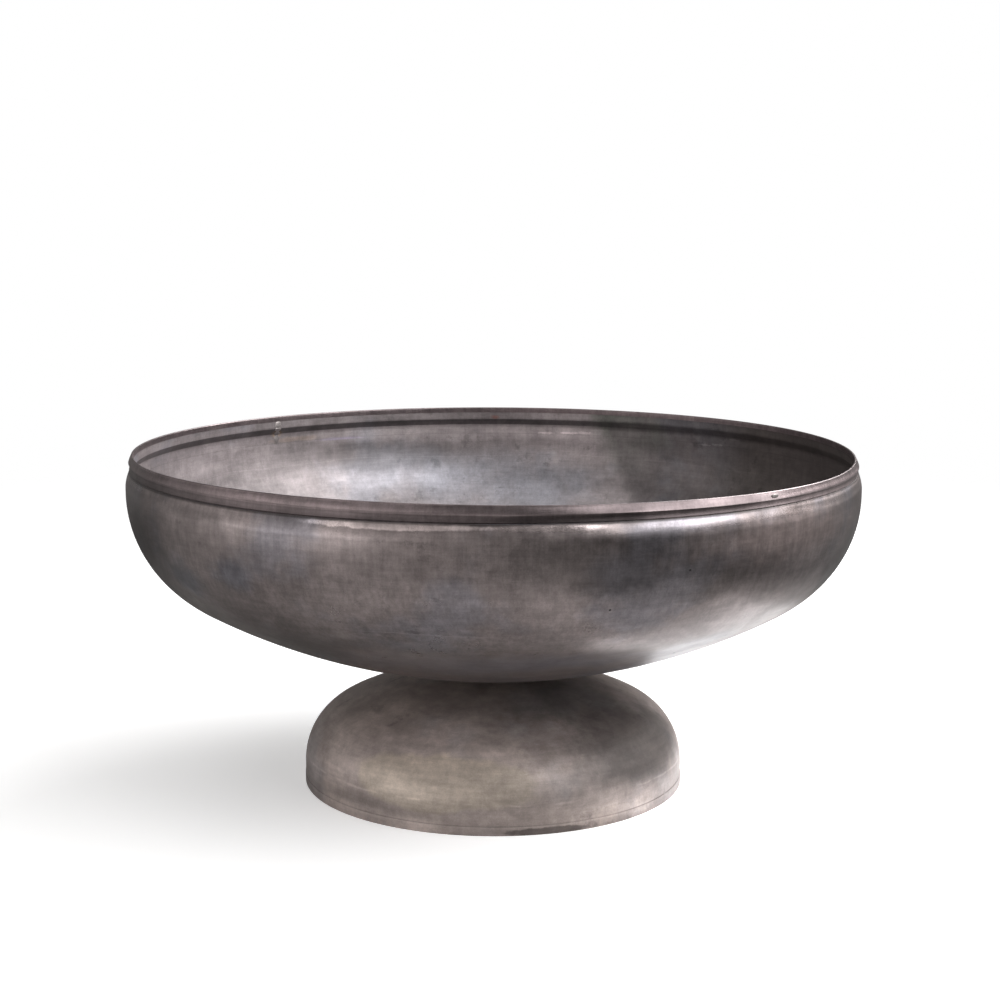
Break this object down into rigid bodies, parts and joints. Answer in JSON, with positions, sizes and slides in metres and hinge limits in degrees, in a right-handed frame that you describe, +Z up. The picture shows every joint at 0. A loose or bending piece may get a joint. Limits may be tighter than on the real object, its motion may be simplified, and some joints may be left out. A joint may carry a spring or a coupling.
{
  "type": "fire pit",
  "caption": "Round dished steel fire pit bowl with a stepped rim on a domed pedestal base, holding a lift-out log grate.",
  "frame": {"origin": "on the ground at the centre of the base", "axes": "+Z up along the axis of the bowl and base; the grate bars run along Y"},
  "size_m": [0.7619, 0.762, 0.3557],
  "materials": {
    "bowl_steel": "bare hot-rolled steel with grey-brown mill scale, semi-matte",
    "base_steel": "bare hot-rolled steel, warmer and more matte, finely scratched",
    "grate_steel": "black hot-rolled round bar, matte",
    "fastener_steel": "plain zinc-plated, dull"
  },
  "bodies": {
    "pit": {"bowl_shell": "bowl_steel", "rim_collar": "bowl_steel", "rim_bead": "bowl_steel", "base_shell": "base_steel", "foot_ring": "base_steel", "pedestal_ring": "base_steel", "pedestal_bolts": "fastener_steel", "pedestal_washers": "fastener_steel", "pedestal_nuts": "fastener_steel"},
    "grate": {"grate_ring": "grate_steel", "grate_bar_1": "grate_steel", "grate_bar_2": "grate_steel", "grate_bar_3": "grate_steel", "grate_bar_4": "grate_steel", "grate_bar_5": "grate_steel", "grate_bar_6": "grate_steel", "grate_bar_7": "grate_steel", "grate_bar_8": "grate_steel", "grate_bar_9": "grate_steel", "grate_cross_bar_front": "grate_steel", "grate_cross_bar_rear": "grate_steel", "grate_leg_front_left": "grate_steel", "grate_leg_front_right": "grate_steel", "grate_leg_rear_left": "grate_steel", "grate_leg_rear_right": "grate_steel"}
  },
  "joints": [
    {"name": "grate_lift", "type": "slide", "parent": "pit", "child": "grate", "axis": [0, 0, 1], "range_m": [0, 0.21]}
  ]
}
